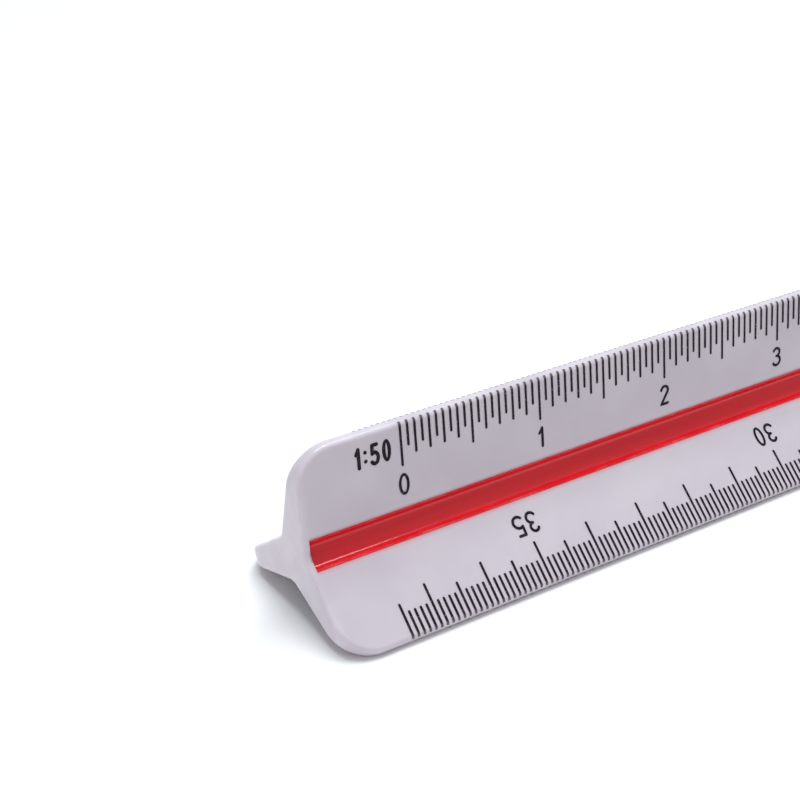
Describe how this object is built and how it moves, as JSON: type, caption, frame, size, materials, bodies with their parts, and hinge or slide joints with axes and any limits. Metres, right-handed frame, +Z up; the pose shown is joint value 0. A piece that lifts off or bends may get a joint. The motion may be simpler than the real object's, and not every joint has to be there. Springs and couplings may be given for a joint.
{
  "type": "triangular scale ruler",
  "caption": "Triangular scale ruler: a three-bladed white plastic bar with coloured grooves and a different reduction scale printed along each side of every blade edge.",
  "frame": {"origin": "under the middle of the ruler, on the surface that its two lower blade edges rest on", "axes": "+X along the ruler, from the end where the upper scale of the front face starts; +Z up through the upper blade; -Y out of the front face, which has the red groove"},
  "size_m": [0.3224, 0.025, 0.0218],
  "materials": {
    "white_plastic": "glossy, slightly translucent milky white moulding",
    "red_lining": "glossy red lacquer",
    "teal_lining": "glossy teal lacquer",
    "black_ink": "black printing ink with a slight sheen"
  },
  "bodies": {
    "root": {"ruler_body": "white_plastic", "red_groove_lining": "red_lining", "teal_groove_lining": "teal_lining", "graduations_1_50": "black_ink", "numerals_1_50": "black_ink", "ratio_label_1_50": "black_ink", "graduations_1_125": "black_ink", "numerals_1_125": "black_ink", "ratio_label_1_125": "black_ink", "graduations_1_75": "black_ink", "numerals_1_75": "black_ink", "ratio_label_1_75": "black_ink", "graduations_1_100": "black_ink", "numerals_1_100": "black_ink", "ratio_label_1_100": "black_ink", "graduations_1_20": "black_ink", "numerals_1_20": "black_ink", "ratio_label_1_20": "black_ink", "graduations_1_25": "black_ink", "numerals_1_25": "black_ink", "ratio_label_1_25": "black_ink"}
  },
  "joints": []
}
